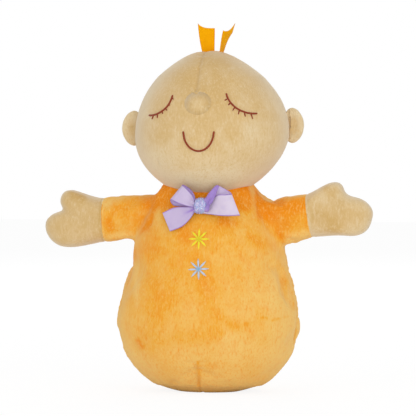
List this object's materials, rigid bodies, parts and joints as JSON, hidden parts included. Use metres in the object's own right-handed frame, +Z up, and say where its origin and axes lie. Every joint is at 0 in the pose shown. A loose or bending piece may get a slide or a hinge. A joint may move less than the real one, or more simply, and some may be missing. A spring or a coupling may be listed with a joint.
{
  "type": "baby doll",
  "caption": "Soft baby doll with a legless pear-shaped sack body, raglan sleeves, mitten hands, a round head with a closed-eye stitched face, a ribbon tuft and a satin bow.",
  "frame": {"origin": "middle of the base, on the floor plane that the doll stands on", "axes": "+Z up from the base to the crown; the doll faces -Y; +X towards the doll's own left hand"},
  "size_m": [0.2344, 0.1009, 0.2573],
  "materials": {
    "tan_plush": "short pile, matt",
    "orange_plush": "short pile, matt",
    "stuffing": "loose white fibre",
    "bean_cloth": "plain woven cloth",
    "brown_thread": "embroidery thread, slight sheen",
    "lilac_satin": "satin, soft shine",
    "orange_ribbon": "satin ribbon, soft shine",
    "yellow_thread": "embroidery thread, slight sheen",
    "blue_thread": "embroidery thread, slight sheen"
  },
  "bodies": {
    "torso": {"body_front_panel": "orange_plush", "body_back_panel": "orange_plush", "body_fill": "stuffing", "bean_pouch": "bean_cloth", "bow_loops": "lilac_satin", "bow_tails": "lilac_satin", "bow_knot_band": "lilac_satin", "yellow_star": "yellow_thread", "blue_star": "blue_thread"},
    "neck": {"neck_fill": "stuffing"},
    "head": {"face_panel": "tan_plush", "head_back_panel_left": "tan_plush", "head_back_panel_right": "tan_plush", "head_fill": "stuffing", "nose": "tan_plush", "eye_stitching_left": "brown_thread", "eye_stitching_right": "brown_thread", "smile_stitching": "brown_thread"},
    "ear_left": {"ear_left": "tan_plush"},
    "ear_right": {"ear_right": "tan_plush"},
    "tuft_left": {"tuft_ribbon_left": "orange_ribbon"},
    "tuft_right": {"tuft_ribbon_right": "orange_ribbon"},
    "shoulder_left": {"shoulder_fill_left": "stuffing"},
    "arm_left": {"sleeve_left": "orange_plush", "arm_fill_left": "stuffing", "hand_front_left": "tan_plush", "hand_back_left": "tan_plush"},
    "shoulder_right": {"shoulder_fill_right": "stuffing"},
    "arm_right": {"sleeve_right": "orange_plush", "arm_fill_right": "stuffing", "hand_front_right": "tan_plush", "hand_back_right": "tan_plush"}
  },
  "joints": [
    {"name": "neck_nod", "type": "hinge", "parent": "torso", "child": "neck", "pos_m": [0, 0, 0.141], "axis": [1, 0, 0], "range_deg": [-12, 10], "stiffness_Nm_per_rad": 0.8, "deforming": ["body_front_panel", "body_back_panel", "bow_loops"]},
    {"name": "head_turn", "type": "hinge", "parent": "neck", "child": "head", "pos_m": [0, 0, 0.141], "axis": [0, 0, 1], "range_deg": [-20, 20], "stiffness_Nm_per_rad": 0.5},
    {"name": "shoulder_left_swing", "type": "hinge", "parent": "torso", "child": "shoulder_left", "pos_m": [0.0435, 0, 0.12], "axis": [0, 0, -1], "range_deg": [-20, 45], "stiffness_Nm_per_rad": 0.15},
    {"name": "arm_left_raise", "type": "hinge", "parent": "shoulder_left", "child": "arm_left", "pos_m": [0.0435, 0, 0.12], "axis": [0, -1, 0], "range_deg": [-43, 27], "stiffness_Nm_per_rad": 0.15, "deforming": ["sleeve_left"]},
    {"name": "shoulder_right_swing", "type": "hinge", "parent": "torso", "child": "shoulder_right", "pos_m": [-0.0435, 0, 0.12], "axis": [0, 0, 1], "range_deg": [-20, 45], "stiffness_Nm_per_rad": 0.15},
    {"name": "arm_right_raise", "type": "hinge", "parent": "shoulder_right", "child": "arm_right", "pos_m": [-0.0435, 0, 0.12], "axis": [0, 1, 0], "range_deg": [-33, 37], "stiffness_Nm_per_rad": 0.15, "deforming": ["sleeve_right"]},
    {"name": "ear_left_fold", "type": "hinge", "parent": "head", "child": "ear_left", "pos_m": [0.0565, 0.001, 0.186], "axis": [0, 0, -1], "range_deg": [-30, 45], "stiffness_Nm_per_rad": 0.01},
    {"name": "ear_right_fold", "type": "hinge", "parent": "head", "child": "ear_right", "pos_m": [-0.0505, 0.001, 0.1842], "axis": [0, 0, 1], "range_deg": [-30, 45], "stiffness_Nm_per_rad": 0.01},
    {"name": "tuft_left_bend", "type": "hinge", "parent": "head", "child": "tuft_left", "pos_m": [0.0106, -0.006, 0.2375], "axis": [0.4695, 0.8829, 0], "range_deg": [-20, 35], "stiffness_Nm_per_rad": 0.001},
    {"name": "tuft_right_bend", "type": "hinge", "parent": "head", "child": "tuft_right", "pos_m": [0.0012, -0.006, 0.2382], "axis": [1, 0, 0], "range_deg": [-35, 35], "stiffness_Nm_per_rad": 0.001}
  ]
}
